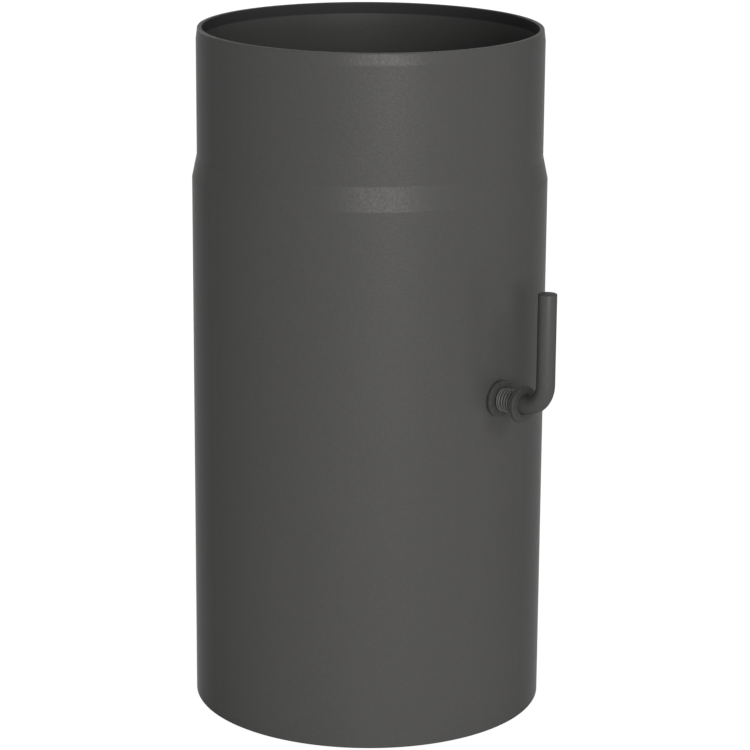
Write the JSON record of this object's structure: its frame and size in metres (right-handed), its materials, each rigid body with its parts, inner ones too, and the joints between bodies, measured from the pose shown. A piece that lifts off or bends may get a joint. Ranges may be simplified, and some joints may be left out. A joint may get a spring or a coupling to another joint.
{
  "type": "stove pipe with damper",
  "caption": "Straight flue pipe section with a narrowed spigot end and a turning damper plate inside, set by a bent bar handle held by a friction spring.",
  "frame": {"origin": "on the floor under the middle of the object's box; the pipe's own axis stands at x = -0.0113 m, because the handle reaches further than the far end of the shaft", "axes": "+Z along the pipe, from the socket end up to the spigot; +X along the damper shaft, towards the handle; +Y towards the side of the shaft that carries the damper plate at rest"},
  "size_m": [0.191, 0.154, 0.3],
  "materials": {
    "stove_paint": "charcoal heat-resistant paint, fine grain, semi-matt",
    "black_steel": "dull blackened steel",
    "spring_steel": "dull blackened spring wire",
    "scaled_steel": "hot-rolled sheet with dark mill scale"
  },
  "bodies": {
    "pipe": {"pipe_body": "stove_paint", "spring_washer_pipe_side": "black_steel", "end_washer": "black_steel"},
    "damper": {"damper_shaft": "stove_paint", "damper_plate": "scaled_steel", "friction_spring": "spring_steel", "spring_washer_handle_side": "black_steel", "cotter_pin": "black_steel", "plate_screw_1": "black_steel", "plate_screw_2": "black_steel", "plate_nut_1": "black_steel", "plate_nut_2": "black_steel", "plate_washer_1": "black_steel", "plate_washer_2": "black_steel", "lock_washer_1": "spring_steel", "lock_washer_2": "spring_steel"}
  },
  "joints": [
    {"name": "damper_turn", "type": "hinge", "parent": "pipe", "child": "damper", "pos_m": [-0.0113, 0, 0.15], "axis": [1, 0, 0], "continuous": true}
  ]
}
